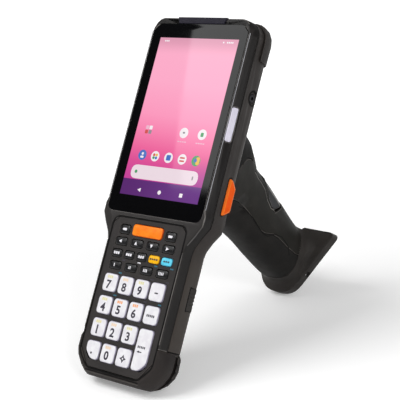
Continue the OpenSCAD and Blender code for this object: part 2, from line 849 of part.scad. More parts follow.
// Where a point of the trigger's side view goes when it is pulled
function pulled(p) =
    let (d = p - [pin_y, pin_z])
    [pin_y + d[0] * cos(pull) + d[1] * sin(pull), pin_z + d[1] * cos(pull) - d[0] * sin(pull)];

// Opening for the trigger's blade, cut right across the handle, with the room that the pulled
// blade sinks into behind the side walls, and the well of its arm and boss
module trigger_pocket() {
    sunk = concat([blade_side[0], blade_side[1]], [for (i = [1:7]) pulled(blade_side[i])],
                  [blade_side[7], blade_side[8]]);
    across(far) polygon(grown(blade_side, gap + 0.1));
    across(trigger_w + 2 * gap) polygon(grown(sunk, gap + 0.2));
    across(2 * well_half)
        polygon([[-10.8, 1 - neck_z], [-22.5, 1 - neck_z], [-22.5, -64], [-24.5, -75], [-27, -83],
                 [-14.5, -83], [-14.5, -79], [-10.8, -66]]);
}

// Both shells of the handle as one, with the well of the trigger, its pin and its switch
module handle_shells() {
    difference() {
        grip_form(seam_back_z + 2, -foot_z, 0, 16);
        across(far) polygon(grown(neck_side, seam));
        palm_recess();
        // Hollow behind the trigger and below it
        difference() {
            grip_form(seam_back_z + 3, -foot_z - 1, palm_t + grip_wall, 8);
            across(far) polygon([[far, -63], [-35.8, -63], [-35.8, -98], [-30, -106], [far, -106]]);
        }
        trigger_pocket();
        translate([0, pin_y, pin_z]) bar(pin_r, pin_l + 2 * seam);
        box([-switch_w / 2 - seam, switch_y - switch_l - seam, switch_z - switch_w / 2 - seam],
            [switch_w / 2 + seam, -22, switch_z + switch_w / 2 + seam]);
    }
}

module grip_shell_right() color(graphite)
    intersection() {
        handle_shells();
        box([seam / 2, -far, -far], [far, far, 0]);
    }

module grip_shell_left() color(graphite)
    intersection() {
        handle_shells();
        box([-far, -far, -far], [-seam / 2, far, 0]);
    }

module grip_palm() color("#262423")
    intersection() {
        difference() {
            grip_form(palm_top_z - seam, -foot_z, 0, 14);
            palm_bed();
        }
        across(far) polygon(palm_side);
    }

// Neck: flares out of the handle to a broad saddle on the terminal's back
module grip_neck() color("#3b3634")
    difference() {
        intersection() {
            grip_form(back_z - 0.05, -neck_z - 1, 0, 8);
            across(far) polygon(neck_side);
        }
        grip_form(back_z - 4, -neck_z - 2, 7, 4);
        for (p = neck_screws)
            translate([p[0], p[1], back_z - neck_flange]) rotate([180, 0, 0]) {
                cylinder(r = screw_head_r + gap, h = neck_z - head_back, $fn = 32);
                translate([0, 0, -10]) cylinder(r = screw_r + 0.1, h = 20, $fn = 24);
            }
    }

// Foot: the handle spreads into a flat sole, broad at the toe and narrow at the heel
foot_steps = 6;
foot_mid_y = -(toe_y + heel_y) / 2;
sole_edge = 1.2;
sole_share = 0.94;
toe_r = 5;
heel_r = 8.5;

// Recess in the middle of the toe, down the front of the handle
toe_gap_w = 22;
toe_gap_l = 4;
module foot_form() {
    rim_h = 8;
    outline = [[toe_w / 2, -toe_y], [-toe_w / 2, -toe_y], [-heel_w / 2, -heel_y],
               [heel_w / 2, -heel_y]];
    sole = rounded(outline, [toe_r, toe_r, heel_r, heel_r], 5);
    inner = [for (p = sole) let (c = [0, foot_mid_y]) c + (p - c) * sole_share];
    top = grip_ring(-foot_z - seam, 0);
    skin(concat(
        [for (i = [0:foot_steps])
            let (t = i / foot_steps)
            [for (j = [0:ring_points - 1])
                let (a = top[j],
                     c = [sole[j][0], sole[j][1], -sole_z + rim_h],
                     b = [a[0] * 1.02, a[1], c[2] + 1.2])
                bend(a, b, c, t)]],
        [[for (p = sole) [p[0], p[1], -sole_z + sole_edge]],
         [for (p = inner) [p[0], p[1], -sole_z]]]));
}

// Where the lanyard hole leaves the sole, in from the foot's right edge, and how steep it is
lanyard_in = 8;
lanyard_rise = 25;
lanyard_y = -57.5;
lanyard_x = heel_w / 2 + (toe_w - heel_w) / 2 * (heel_y + lanyard_y) / (heel_y - toe_y)
    - lanyard_in;

module grip_foot() color("#2a2726")
    difference() {
        foot_form();
        across(toe_gap_w)
            polygon([[far, -foot_z - 1], [-toe_y - 0.6, -foot_z - 1],
                     [-toe_y - toe_gap_l, -sole_z + 6], [-toe_y - toe_gap_l - 1.4, -sole_z - 1],
                     [far, -sole_z - 1]]);
        // Lanyard hole from the edge down through the sole
        translate([lanyard_x, lanyard_y, -sole_z]) rotate([0, 90 - lanyard_rise, 0])
            cylinder(r = lanyard_r, h = far / 4, center = true, $fn = 32);
    }

// ---- Trigger ---------------------------------------------------------------------------------

scoop_r = 40;
scoop_deep = 1.9;

// Trigger: a blade that follows the handle's round front, hollowed for the finger, on an arm that
// hangs from the pin
module trigger() color("#232120") {
    top = [at_height(grip_stations, blade_top_z)[1], blade_top_z];
    low = [at_height(grip_stations, blade_foot_z)[1], blade_foot_z];
    scoop = (top + low) / 2 + edge_out(low, top) * (scoop_r - scoop_deep);
    difference() {
        union() {
            difference() {
                intersection() {
                    across(trigger_w) polygon(blade_side);
                    grip_form(blade_top_z + 2, blade_foot_z - 2, 0.4, 6);
                }
                translate([0, scoop[0], scoop[1]])
                    rotate([0, 90, 0]) cylinder(r = scoop_r, h = far, center = true, $fn = 128);
            }
            across(boss_w)
                polygon([[pin_y + boss_r, pin_z], each arm_back, [-17, -84], [-15.5, -80.5],
                         [-12.5, -68]]);
            translate([0, pin_y, pin_z]) bar(boss_r, boss_w);
        }
        translate([0, pin_y, pin_z]) bar(pin_r + pin_fit, far / 4);
    }
}

module trigger_pin() color("#b9b9bd")
    translate([0, pin_y, pin_z]) bar(pin_r, pin_l);

// Return spring: coils round the pin beside the boss, one end turned out against the trigger
spring_r = pin_r + 0.8;
wire_r = 0.35;
spring_turns = 2.5;
module trigger_spring() color("#9a9a9a") {
    turn_step = 30;
    end = spring_turns * 360;
    lead = 2.2 * wire_r;
    translate([boss_w / 2 + 0.5, pin_y, pin_z])
        skin([for (a = [0:turn_step:end])
            [for (q = [0:45:315])
                let (r = spring_r + wire_r * cos(q))
                [a / 360 * lead + wire_r * sin(q), r * cos(a), -r * sin(a)]]]);
}

// Switch behind the trigger; the pulled trigger comes up to the end of its plunger
module trigger_switch() color("#1c1c1e") {
    top = pulled(arm_back[0]);
    low = pulled(arm_back[1]);
    share = (switch_z - plunger_r - top[1]) / (low[1] - top[1]);
    tip_y = top[0] + (low[0] - top[0]) * share - gap;
    half = switch_w / 2;
    box([-half, switch_y - switch_l, switch_z - half], [half, switch_y, switch_z + half]);
    translate([0, switch_y - eps, switch_z])
        rotate([-90, 0, 0]) cylinder(r = plunger_r, h = tip_y - switch_y, $fn = 24);
}

module housing_screws() color("#8a8a90") {
    at_back_screws() screw(back_screw_l);
    at_side_screws() screw(side_screw_l);
    for (p = neck_screws)
        translate([p[0], p[1], back_z - neck_flange]) rotate([180, 0, 0]) screw(neck_screw_l);
}

// ---- Dock connector --------------------------------------------------------------------------

dock_w = 22;
dock_h = 4.4;
dock_z = -5.2;
dock_sink = 1.2;
module dock_block(grow, depth) {
    translate([0, -tail_y + depth, dock_z]) rotate([90, 0, 0])
        linear_extrude(depth + 5) rounded_rect(dock_w + 2 * grow, dock_h + 2 * grow, 1);
}

module dock_connector() color("#141416")
    difference() {
        intersection() {
            dock_block(0, 3);
            box([-far, -tail_y + dock_sink, -far], [far, 0, 0]);
        }
        for (x = [-7.5:3:7.5])
            translate([x, -tail_y + dock_sink, dock_z]) cube([1.6, 0.8, 2.6], center = true);
    }

// ---- Standing on the table -------------------------------------------------------------------

// The table touches the tail's lower edge and the heel's edge
tail_edge = [-tail_y, -tail_back + tail_lift];
heel_edge = [-heel_y, -sole_z + sole_edge];
toe_edges = [[-toe_y, -sole_z + sole_edge],
             [foot_mid_y + (-toe_y - foot_mid_y) * sole_share, -sole_z]];
stand_angle = -atan2(heel_edge[1] - tail_edge[1], heel_edge[0] - tail_edge[0]);
function row_y(p) = p[0] * cos(stand_angle) - p[1] * sin(stand_angle);
function row_z(p) = p[0] * sin(stand_angle) + p[1] * cos(stand_angle);

module stand() {
    nearest = row_y([-tail_y + tip_len, rim_z - tip_dip]);
    furthest = max([for (p = toe_edges) row_y(p)]);
    translate([0, -(nearest + furthest) / 2, -row_z(tail_edge)]) rotate([stand_angle, 0, 0])
        children();
}

stand() front_housing();
stand() rear_housing();
stand() tail_bumper();
stand() scan_bezel();
stand() corner_guards();
stand() display_glass();
stand() display_panel();
stand() keypad_plate();
stand() dome_sheet();
stand() main_board();
stand() battery_pack();
stand() battery_latch_right();
stand() battery_latch_left();
stand() scan_window();
stand() scan_engine();
stand() scan_key_right();
stand() scan_key_left();
stand() power_key();
stand() dock_connector();
stand() housing_screws();
stand() grip_neck();
stand() grip_shell_right();
stand() grip_shell_left();
stand() grip_palm();
stand() grip_foot();
stand() trigger();
stand() trigger_pin();
stand() trigger_spring();
stand() trigger_switch();
for (i = [0:len(KEYS) - 1])
    stand() key_cap(key_table[i]);
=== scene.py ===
"""Look of a portable barcode data terminal on a pistol grip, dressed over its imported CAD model."""
import math

import bmesh
import bpy
import numpy as np
from mathutils import Matrix
from mathutils.bvhtree import BVHTree


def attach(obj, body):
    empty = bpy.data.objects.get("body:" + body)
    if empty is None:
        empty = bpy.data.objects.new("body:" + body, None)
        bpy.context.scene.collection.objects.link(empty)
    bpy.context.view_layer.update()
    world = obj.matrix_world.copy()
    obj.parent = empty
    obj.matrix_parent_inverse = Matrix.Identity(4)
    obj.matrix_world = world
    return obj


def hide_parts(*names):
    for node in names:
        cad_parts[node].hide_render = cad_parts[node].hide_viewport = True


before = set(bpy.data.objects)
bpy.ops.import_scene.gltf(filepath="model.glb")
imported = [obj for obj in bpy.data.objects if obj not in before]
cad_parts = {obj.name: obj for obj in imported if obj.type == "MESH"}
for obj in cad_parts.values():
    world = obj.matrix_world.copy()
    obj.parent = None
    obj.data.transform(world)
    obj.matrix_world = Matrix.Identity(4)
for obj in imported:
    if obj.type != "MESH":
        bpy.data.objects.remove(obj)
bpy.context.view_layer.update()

# ---- Table, light and camera -------------------------------------------------------------------
# The terminal stands on a plain pale table in a white room with a dark ceiling, lit by one large
# soft box in front, a small one at its right and a soft one behind. The camera stands to its right.


class Value:
    """A socket of a shader; an expression on it adds the Math nodes that work it out."""

    def __init__(self, shading, socket):
        self.shading = shading
        self.socket = socket

    def outlet(self, name):
        """Another outlet of the node that this value comes from."""
        return Value(self.shading, self.socket.node.outputs[name])

    def math(self, operation, *terms):
        """The terms put through a Math node."""
        return self.shading.node("ShaderNodeMath", {"operation": operation},
                                 dict(enumerate(terms)))

    def __add__(self, other):
        return self.math("ADD", self, other)

    def __sub__(self, other):
        return self.math("SUBTRACT", self, other)

    def __rsub__(self, other):
        return self.math("SUBTRACT", other, self)

    def __mul__(self, other):
        return self.math("MULTIPLY", self, other)

    def __truediv__(self, other):
        return self.math("DIVIDE", self, other)

    def __lt__(self, other):
        return self.math("LESS_THAN", self, other)

    def __abs__(self):
        return self.math("ABSOLUTE", self)

    __radd__ = __add__
    __rmul__ = __mul__

    def either(self, other):
        return self.math("MAXIMUM", self, other)

    def ramp(self, low, high):
        """0 below low, 1 above high, and a smooth step between them."""
        return self.shading.node("ShaderNodeMapRange", {"interpolation_type": "SMOOTHSTEP"},
                                 {"Value": self, "From Min": low, "From Max": high})


class Shading:
    """A node tree, to which each node comes through one method."""

    def __init__(self, tree):
        self.tree = tree

    def node(self, kind, settings=(), sockets=(), outlet=0):
        """Adds a node: its settings first, then values or links for its sockets."""
        made = self.tree.nodes.new(kind)
        for key, value in dict(settings).items():
            setattr(made, key, value)
        for key, value in dict(sockets).items():
            self.fill(made.inputs[key], value)
        return Value(self, made.outputs[outlet])

    def fill(self, socket, value):
        """Links a value to a socket, or sets a plain number or colour on it."""
        if isinstance(value, Value):
            self.tree.links.new(value.socket, socket)
        else:
            socket.default_value = value

    def place(self):
        """Object coordinates, which in a world are the direction that a ray takes."""
        return self.node("ShaderNodeTexCoord", outlet="Object")

    def seen_directly(self):
        """1 for rays from the camera and those that glossy or clear surfaces send on, 0 for the
        light that falls on the object."""
        path = self.node("ShaderNodeLightPath", outlet="Is Camera Ray")
        return path.either(path.outlet("Is Glossy Ray")).either(
            path.outlet("Is Transmission Ray"))


class Finish(Shading):
    """A material with one Principled shader, whose fixed values are set on its own sockets."""

    def __init__(self, name, **fixed):
        self.material = bpy.data.materials.new(name)
        self.material.use_nodes = True
        super().__init__(self.material.node_tree)
        self.shader = self.tree.nodes["Principled BSDF"]
        self.feed(**fixed)

    def feed(self, **values):
        """Fills sockets of the shader, named with _ for each blank."""
        for socket, value in values.items():
            self.fill(self.shader.inputs[socket.replace("_", " ")], value)

    def noise(self, size_mm, detail=2.0):
        """Cloudy value from 0 to 1 whose blobs are about size_mm across."""
        return self.node("ShaderNodeTexNoise", {}, {
            "Vector": self.place(), "Scale": 1000 / size_mm, "Detail": detail})

    def mix(self, share, low, high):
        """Colour low where share is 0 and high where it is 1."""
        return self.node("ShaderNodeMix", {"data_type": "RGBA", "clamp_factor": True},
                         {0: share, 6: low, 7: high}, 2)

    def bump(self, height, deep_mm):
        """Feeds Normal with a relief deep_mm deep where height goes from 0 to 1."""
        self.feed(Normal=self.node("ShaderNodeBump", {}, {
            "Height": height, "Distance": deep_mm / 1000}))


def rgb(hex_colour):
    """Linear colour of a hex code: each share c becomes ((c + 0.055) / 1.055) ** 2.4."""
    share = [int(hex_colour[i:i + 2], 16) / 255 for i in (1, 3, 5)]
    return [c / 12.92 if c <= 0.04045 else ((c + 0.055) / 1.055) ** 2.4 for c in share] + [1.0]


room_light = 0.36
ceiling_dark = 0.9
world = bpy.data.worlds.new("white_room")
bpy.context.scene.world = world
world.use_nodes = True
room = Shading(world.node_tree)
room.fill(room.tree.nodes["Background"].inputs["Color"], (1, 1, 1, 1))
overhead = room.node("ShaderNodeSeparateXYZ", {}, {0: room.place()}, "Z").ramp(0.12, 0.4)
room.fill(room.tree.nodes["Background"].inputs["Strength"],
          room.seen_directly() * (1 - room_light - overhead * ceiling_dark) + room_light)

reach = 6.0
table = bpy.data.objects.new("table", bpy.data.meshes.new("table"))
table.data.from_pydata([(-reach, -reach, 0), (reach, -reach, 0), (reach, reach, 0),
                        (-reach, reach, 0)], [], [(0, 1, 2, 3)])
bpy.context.collection.objects.link(table)
pale = Finish("table_white", Base_Color=(0.9, 0.9, 0.9, 1), Roughness=0.9,
              Specular_IOR_Level=0.0, Emission_Strength=1.0)
away = pale.node("ShaderNodeVectorMath", {"operation": "LENGTH"}, {0: pale.place()}, "Value")
glow = pale.seen_directly() * (away.ramp(0.15, 0.6) * 0.5 + 0.25)
pale.feed(Emission_Color=pale.mix(glow, rgb("#000000"), rgb("#ffffff")))
table.data.materials.append(pale.material)

aim = np.array((0.0, -0.02, 0.135))


def soft_box(name, way, distance, size, watts, top=(0, 0, 1)):
    """Square area lamp that faces the terminal from a way off, its upper edge towards top."""
    lamp = bpy.data.lights.new(name, "AREA")
    lamp.size = size
    lamp.energy = watts
    holder = bpy.data.objects.new(name, lamp)
    back = np.array(way) / np.linalg.norm(way)
    right = np.cross(top, back)
    right /= np.linalg.norm(right)
    turn = np.eye(4)
    turn[:3, :3] = np.stack([right, np.cross(back, right), back], axis=1)
    turn[:3, 3] = aim + back * distance
    holder.matrix_world = Matrix(turn.tolist())
    bpy.context.collection.objects.link(holder)


soft_box("front_light", (-0.38, -0.507, 0.774), 1.7, 1.0, 19, top=(0.076, 0.817, 0.572))
soft_box("side_light", (0.78, -0.46, 0.43), 1.4, 0.3, 5)
soft_box("back_light", (0.4, 1.2, 0.8), 1.5, 1.0, 1.6)

lens = bpy.data.cameras.new("camera")
lens.lens = 99.32
lens.sensor_width = 36
lens.clip_start = 0.01
camera = bpy.data.objects.new("camera", lens)
camera_right = (0.7829, 0.6170, -0.0807)
camera_up = (-0.1129, 0.2682, 0.9567)
camera_back = (0.6119, -0.7399, 0.2797)
eye = (0.3897, -0.4759, 0.2624)
view = np.eye(4)
view[:3] = np.stack([camera_right, camera_up, camera_back, eye], axis=1)
camera.matrix_world = Matrix(view.tolist())
bpy.context.collection.objects.link(camera)
bpy.context.scene.camera = camera
bpy.context.scene.view_settings.view_transform = "Standard"

# ---- Housings ----------------------------------------------------------------------------------
# Front and rear shells of head and keypad section and the battery's cover, moulded in glass-filled
# polycarbonate with a fine spark-eroded grain and screwed together. Their rounded edges are painted
# paler as a painted highlight; painted shade darkens the bevels round the front and the head's top
# end, and painted light brightens the side walls along the keypad section.

lean = math.radians(59.4863)
lift = (0.0, -17.008, 135.473)


def stand(points):
    """Row coordinates in metres of points given in the terminal's own millimetres: x stays, y
    becomes y cos lean - z sin lean and z becomes y sin lean + z cos lean, each plus the lift."""
    p = np.asarray(points, float)
    c, s = math.cos(lean), math.sin(lean)
    return np.stack([p[..., 0], p[..., 1] * c - p[..., 2] * s + lift[1],
                     p[..., 1] * s + p[..., 2] * c + lift[2]], axis=-1) / 1000


def unstand(finish):
    """The terminal's own x, y and z in millimetres, from Object coordinates by a Mapping node."""
    c, s = math.cos(lean), math.sin(lean)
    back = (0.0, -(lift[1] * c + lift[2] * s), lift[1] * s - lift[2] * c)
    mapped = finish.node("ShaderNodeMapping", {"vector_type": "POINT"}, {
        "Vector": finish.place(), "Location": back, "Rotation": (-lean, 0, 0),
        "Scale": (1000, 1000, 1000)})
    x = finish.node("ShaderNodeSeparateXYZ", {}, {0: mapped}, "X")
    return x, x.outlet("Y"), x.outlet("Z")


def add_piece(name, mesh, finishes, body, slot, *nodes):
    """Puts a mesh into the scene as a piece that rides on a body and stands for the nodes."""
    made = bpy.data.objects.new(name, mesh)
    bpy.context.collection.objects.link(made)
    for finish in finishes:
        mesh.materials.append(finish.material)
    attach(made, body)
    if nodes:
        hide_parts(*nodes)
    return made


crease = math.radians(34)
near_flat = math.radians(0.4)
same_point = 1e-6


def moulded(node, edge_mm, finish, slot, body="terminal", edge=None, steps=2):
    """The node's solid with its triangles merged, flat neighbours joined, and every crease
    rounded over edge_mm; the rounding may carry a finish of its own."""
    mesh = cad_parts[node].data.copy()
    mesh.materials.clear()
    form = bmesh.new()
    form.from_mesh(mesh)
    bmesh.ops.remove_doubles(form, verts=form.verts, dist=same_point)
    bmesh.ops.dissolve_limit(form, angle_limit=near_flat, verts=form.verts,
                             edges=form.edges, delimit=set())
    form.to_mesh(mesh)
    form.free()
    mesh.shade_smooth()
    mesh.set_sharp_from_angle(angle=crease)
    made = add_piece("look_" + node, mesh, [finish] + [edge] * bool(edge), body, slot, node)
    rounded = made.modifiers.new("rounded_edges", "BEVEL")
    rounded.width = edge_mm / 1000
    rounded.segments = steps
    rounded.limit_method = "ANGLE"
    rounded.angle_limit = crease
    rounded.material = 1 if edge else -1
    rounded.use_clamp_overlap = False
    return made


def dress(finish, *nodes):
    """Gives CAD nodes a finish in place of their plain one."""
    for node in nodes:
        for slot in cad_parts[node].material_slots:
            slot.material = finish.material


def grained(name, colour, worn, roughness, grain_mm, deep_mm, shine=0.25):
    """Moulded plastic or rubber: cloudy shade between two near colours with fine specks, an even
    grain as relief, and a gloss that drifts a little."""
    made = Finish(name, Specular_IOR_Level=shine)
    cloud = made.noise(16, 3.0).ramp(0.35, 0.7)
    specks = made.noise(grain_mm * 0.7, 1.0).ramp(0.5, 0.75)
    made.feed(Base_Color=made.mix(cloud * 0.65 + specks * 0.35, rgb(colour), rgb(worn)),
              Roughness=roughness + made.noise(6, 2.0) * 0.16 - 0.08)
    made.bump(made.noise(grain_mm, 2.0), deep_mm)
    return made


shell = grained("housing_plastic", "#242120", "#2e2b2a", 0.46, 0.7, 0.05, 0.22)
# The housing's rounded edges are painted paler: a painted highlight.
shell_edge_highlight = grained("housing_edge_highlight", "#5f5b58", "#74706c", 0.3, 0.7, 0.02, 0.6)
wall = grained("wall_plastic", "#2b2725", "#35302e", 0.5, 0.7, 0.05, 0.16)


def paint_light_and_shade(finish, share, colour):
    """Paints light and shade into a finish's colour: takes it towards another colour by a share that
    changes over the terminal.
    """
    plain = Value(finish, finish.shader.inputs["Base Color"].links[0].from_socket)
    finish.feed(Base_Color=finish.mix(share, plain, rgb(colour)))


# Painted shade darkens the bevels, which start at a half width of 27.5 beside the keys and of 35.4
# beside the display, and the head's top end.
x, y, z = unstand(shell)
bevel_from = y.ramp(-72, -57) * 7.9 + 27.5
bevel_shade = (abs(x) - bevel_from).ramp(0, 0.5) * 0.6
top_shade = y.ramp(51, 57) * 0.85
paint_light_and_shade(shell, bevel_shade.either(top_shade), "#0a0909")
# Painted shade takes the paler edges down at the shoulder between display and keys.
x, y, z = unstand(shell_edge_highlight)
shoulder_shade = (1 - y.ramp(-60, -56)) * y.ramp(-80, -73) * 0.8
paint_light_and_shade(shell_edge_highlight, shoulder_shade, "#272423")
# Painted light: the side walls turn paler along the keypad section.
x, y, z = unstand(wall)
deck_wall_light = (1 - y.ramp(-85, -62)) * 0.6
paint_light_and_shade(wall, deck_wall_light, "#4a443f")
moulded("front_housing", 0.35, shell, "housing", edge=shell_edge_highlight)
moulded("rear_housing", 0.15, wall, "housing")
moulded("battery_pack", 0.3, wall, "housing", "battery_pack")
groove = grained("groove_black", "#0b0a0a", "#11100f", 0.7, 0.6, 0.02, 0.1)
strip_off, strip_thick = 4e-5, 6e-5


def joint(name, node, at, across, wide):
    """A dark strip over the joint where a plane through the point at cuts the node's outside:
    each edge of the cut moved half the width to both sides, and strip_off off the surface."""
    form = bmesh.new()
    form.from_mesh(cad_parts[node].data)
    bmesh.ops.remove_doubles(form, verts=form.verts, dist=same_point)
    spot, tip = stand(np.array([at, np.add(at, across)]))
    way = (tip - spot) / np.linalg.norm(tip - spot)
    cut = bmesh.ops.bisect_plane(form, geom=[*form.verts, *form.edges, *form.faces],
                                 plane_co=spot, plane_no=way)["geom_cut"]
    edges = [e for e in cut if isinstance(e, bmesh.types.BMEdge) and e.link_faces]
    ends = np.array([[e.verts[0].co, e.verts[1].co] for e in edges])
    out = np.array([e.link_faces[0].normal for e in edges])[:, None] * strip_off
    form.free()
    half = way * wide / 2000
    corners = np.stack([ends[:, 0] - half, ends[:, 1] - half, ends[:, 1] + half,
                        ends[:, 0] + half], axis=1) + out
    facing = np.einsum("ij,ij->i", np.cross(ends[:, 1] - ends[:, 0], way), out[:, 0])
    corners = np.where(facing[:, None, None] > 0, corners, corners[:, ::-1])
    mesh = bpy.data.meshes.new(name)
    mesh.from_pydata(corners.reshape(-1, 3).tolist(), [],
                     np.arange(4 * len(edges)).reshape(-1, 4).tolist())
    made = add_piece(name, mesh, [groove], "terminal", "housing")
    thick = made.modifiers.new("thickness", "SOLIDIFY")
    thick.thickness = strip_thick
    thick.offset = -1


def loft(rings):
    """Points and faces of a closed form through rings that run anticlockwise seen from the last
    one: quads between neighbours and a flat face over each end."""
    rings = np.asarray(rings, float)
    m, n = rings.shape[:2]
    i, j = np.meshgrid(np.arange(m - 1) * n, np.arange(n), indexing="ij")
    k = (j + 1) % n
    quads = np.stack([i + j, i + k, i + n + k, i + n + j], axis=-1).reshape(-1, 4)
    ends = [list(range(n - 1, -1, -1)), list(range((m - 1) * n, m * n))]
    return rings.reshape(-1, 3), quads.tolist() + ends


def joined(name, parts, sharp=crease):
    """One mesh, stood up on the table, from (points, faces, finish number) parts, shaded smooth
    but for edges that bend more than sharp."""
    counts = np.cumsum([0] + [len(p[0]) for p in parts])
    mesh = bpy.data.meshes.new(name)
    mesh.from_pydata(stand(np.vstack([p[0] for p in parts])).tolist(), [], [
        [v + base for v in face] for part, base in zip(parts, counts) for face in part[1]])
    mesh.polygons.foreach_set("material_index", np.concatenate(
        [np.full(len(p[1]), p[2]) for p in parts]).astype(np.int32))
    mesh.shade_smooth()
    mesh.set_sharp_from_angle(angle=sharp)
    return mesh


def rod(section, along):
    """Closed straight bar: the (x, z) section, anticlockwise, repeated at each y of along."""
    x, z = np.asarray(section, float).T
    return loft([np.column_stack([x, np.full(len(x), y), z]) for y in along])


# Pale strips on both sides of the glass and of the keypad: a painted highlight along the frame's
# edges.
lip_highlight = grained("frame_lip", "#9a9a9f", "#b0b0b4", 0.25, 0.7, 0.01, 0.6)
lip = np.array([(34.75, 1.15), (34.86, 1.26), (35.08, 0.97), (34.95, 0.86)])
deck_lip = np.array([(26.95, 1.2), (26.95, 1.37), (27.3, 1.37), (27.3, 1.2)])
lip_run, deck_run = (-49.5, 50.5), (-124, -74)
add_piece("look_frame_lip_highlights", joined("look_frame_lip_highlights", [
    (*rod(lip[::-1], lip_run), 0), (*rod(lip * (-1, 1), lip_run), 0),
    (*rod(deck_lip[::-1], deck_run), 1), (*rod(deck_lip * (-1, 1), deck_run), 1)]),
    [lip_highlight, shell_edge_highlight], "terminal", "housing")
parting_z, tail_from = -3.4, -126.35
joint("look_parting_line", "front_housing", (0, 0, parting_z), (0, 0, 1), 0.45)
joint("look_tail_joint", "rear_housing", (0, tail_from, 0), (0, 1, 0), 0.55)

# ---- Tail bumper and corner guards -------------------------------------------------------------
# Pieces with overmoulded rubber on the ends that meet the floor in a drop, screwed to the shells.
# The dock's contacts sit in a dark plastic block in the tail's end.

rubber = grained("bumper_rubber", "#252120", "#2f2a28", 0.6, 0.9, 0.07, 0.2)
# The bumpers' rounded edges are painted paler: a painted highlight.
rubber_edge_highlight = grained("bumper_edge_highlight", "#38332f", "#443f3c", 0.42, 0.9, 0.04, 0.24)
moulded("tail_bumper", 0.4, rubber, "bumper", edge=rubber_edge_highlight)
moulded("corner_guards", 0.3, rubber, "bumper", edge=rubber_edge_highlight)
dark_part = grained("dark_part", "#15161a", "#1c1d22", 0.4, 0.5, 0.02)
dress(dark_part, "dock_connector")

# ---- Scanner end -------------------------------------------------------------------------------
# Cap of bluish plastic clipped on round the scan window, a deep red filter through which the
# engine behind it reads.

cap = grained("cap_plastic", "#1d1b26", "#26242f", 0.5, 0.6, 0.03, 0.1)
moulded("scan_bezel", 0.4, cap, "bezel")
filter_glass = Finish("filter_window", Base_Color=rgb("#3a0a10"), Coat_Weight=1.0,
                      Coat_Roughness=0.03)
filter_glass.feed(Roughness=filter_glass.noise(20) * 0.1 + 0.05)
dress(filter_glass, "scan_window")
dress(dark_part, "scan_engine")

# ---- Display -----------------------------------------------------------------------------------
# Cover glass glued over the display module and printed black on its back round the picture. The
# lit picture is a plain pink wallpaper over a violet bar, with coloured discs, a pale pill and a
# few plain marks.

half_w, half_l = 28.1, 46.8
middle_x, middle_y = 0.8, -0.35
bar_top = -37.5
fade = 0.15
glass_top = 1.42

glass = Finish("cover_glass", Specular_IOR_Level=0.13, Emission_Strength=0.98)
x, y, z = unstand(glass)
x, y = x - middle_x, y - middle_y
wallpaper = glass.node("ShaderNodeValToRGB", {}, {0: (y + x * 0.06) / (2 * half_l) + 0.5})
stops = wallpaper.socket.node.color_ramp.elements
stops[0].color = rgb("#c23f97")
stops[1].color = rgb("#fcaeca")
for high, colour in ((-37, "#c9459a"), (-28, "#dd5197"), (-20, "#ef689f"), (-10, "#f985b1"),
                     (0, "#fe9bc0"), (20, "#ffaccb"), (40, "#feb0cc")):
    stops.new(high / (2 * half_l) + 0.5).color = rgb(colour)
lower_right = x.ramp(4, 30) * (1 - y.ramp(-38, -18)) * 0.75
lit = glass.mix(lower_right, wallpaper, rgb("#a0409c"))
lit = glass.mix(y.ramp(36, 46) * 0.34, lit, rgb("#94707f"))
violet_bar = glass.mix(x.ramp(-half_w, half_w), rgb("#5a2a70"), rgb("#6d3c88"))
lit = glass.mix(y < bar_top, lit, violet_bar)
shown = (1 - abs(x).ramp(half_w - fade, half_w)) * (1 - abs(y).ramp(half_l - fade, half_l))
smudge = glass.noise(30, 3.0)
glass.feed(Base_Color=glass.mix(smudge, rgb("#050506"), rgb("#08080a")),
           Emission_Color=glass.mix(shown, rgb("#000000"), lit),
           Roughness=smudge.ramp(0.5, 0.8) * 0.05 + 0.04)
dress(dark_part, "display_panel")


def rounded_path(corners, cut_back, steps=6):
    """Closed path whose corners are rounded: it leaves each side at a and c, a distance cut_back
    before and after the corner p, and joins them by (1 - t)^2 a + 2 t (1 - t) p + t^2 c."""
    p = np.asarray(corners, float)
    cut_back = np.broadcast_to(cut_back, len(p))[:, None]
    before, after = np.roll(p, 1, axis=0) - p, np.roll(p, -1, axis=0) - p
    a = p + before / np.linalg.norm(before, axis=1)[:, None] * cut_back
    c = p + after / np.linalg.norm(after, axis=1)[:, None] * cut_back
    t = np.linspace(0, 1, steps + 1)[:, None, None]
    bent = (1 - t) ** 2 * a + 2 * t * (1 - t) * p + t ** 2 * c
    return bent.transpose(1, 0, 2).reshape(-1, 2)


def levels(path, heights):
    """The plan path repeated at each height."""
    flat = np.asarray(path, float)
    return [np.column_stack([flat, np.full(len(flat), h)]) for h in heights]


def glass_path(half, top, foot, cut):
    """Outline of the cover glass: rounded below, its upper corners cut off at 45 degrees."""
    return rounded_path([(-half, foot), (half, foot), (half, top - cut), (half - cut, top),
                         (cut - half, top), (-half, top - cut)], (4.6, 4.6, 1, 1, 1, 1))


# Half width, upper end, lower end, corner and height of each ring: a body, and a lip lapped over
# the frame with a softly broken edge.
glass_rings = [(33.2, 53.9, -56.5, 3.6, 0.1), (33.2, 53.9, -56.5, 3.6, 1.31),
               (33.75, 55.0, -57.0, 4.3, 1.31), (33.75, 55.0, -57.0, 4.3, 1.36),
               (33.65, 54.9, -56.9, 4.25, glass_top - 0.01),
               (33.5, 54.75, -56.75, 4.2, glass_top)]
add_piece("look_display_glass", joined("look_display_glass", [(*loft(
    [levels(glass_path(*ring[:4]), [ring[4]])[0] for ring in glass_rings]), 0)]), [glass],
    "terminal", "screen_glass", "display_glass")

mark_deep = 0.05


def mark(path, x, y, z):
    """A thin printed mark: the path as a plate with its face at z."""
    return loft(levels(np.asarray(path, float) + (x, y), (z - mark_deep, z)))


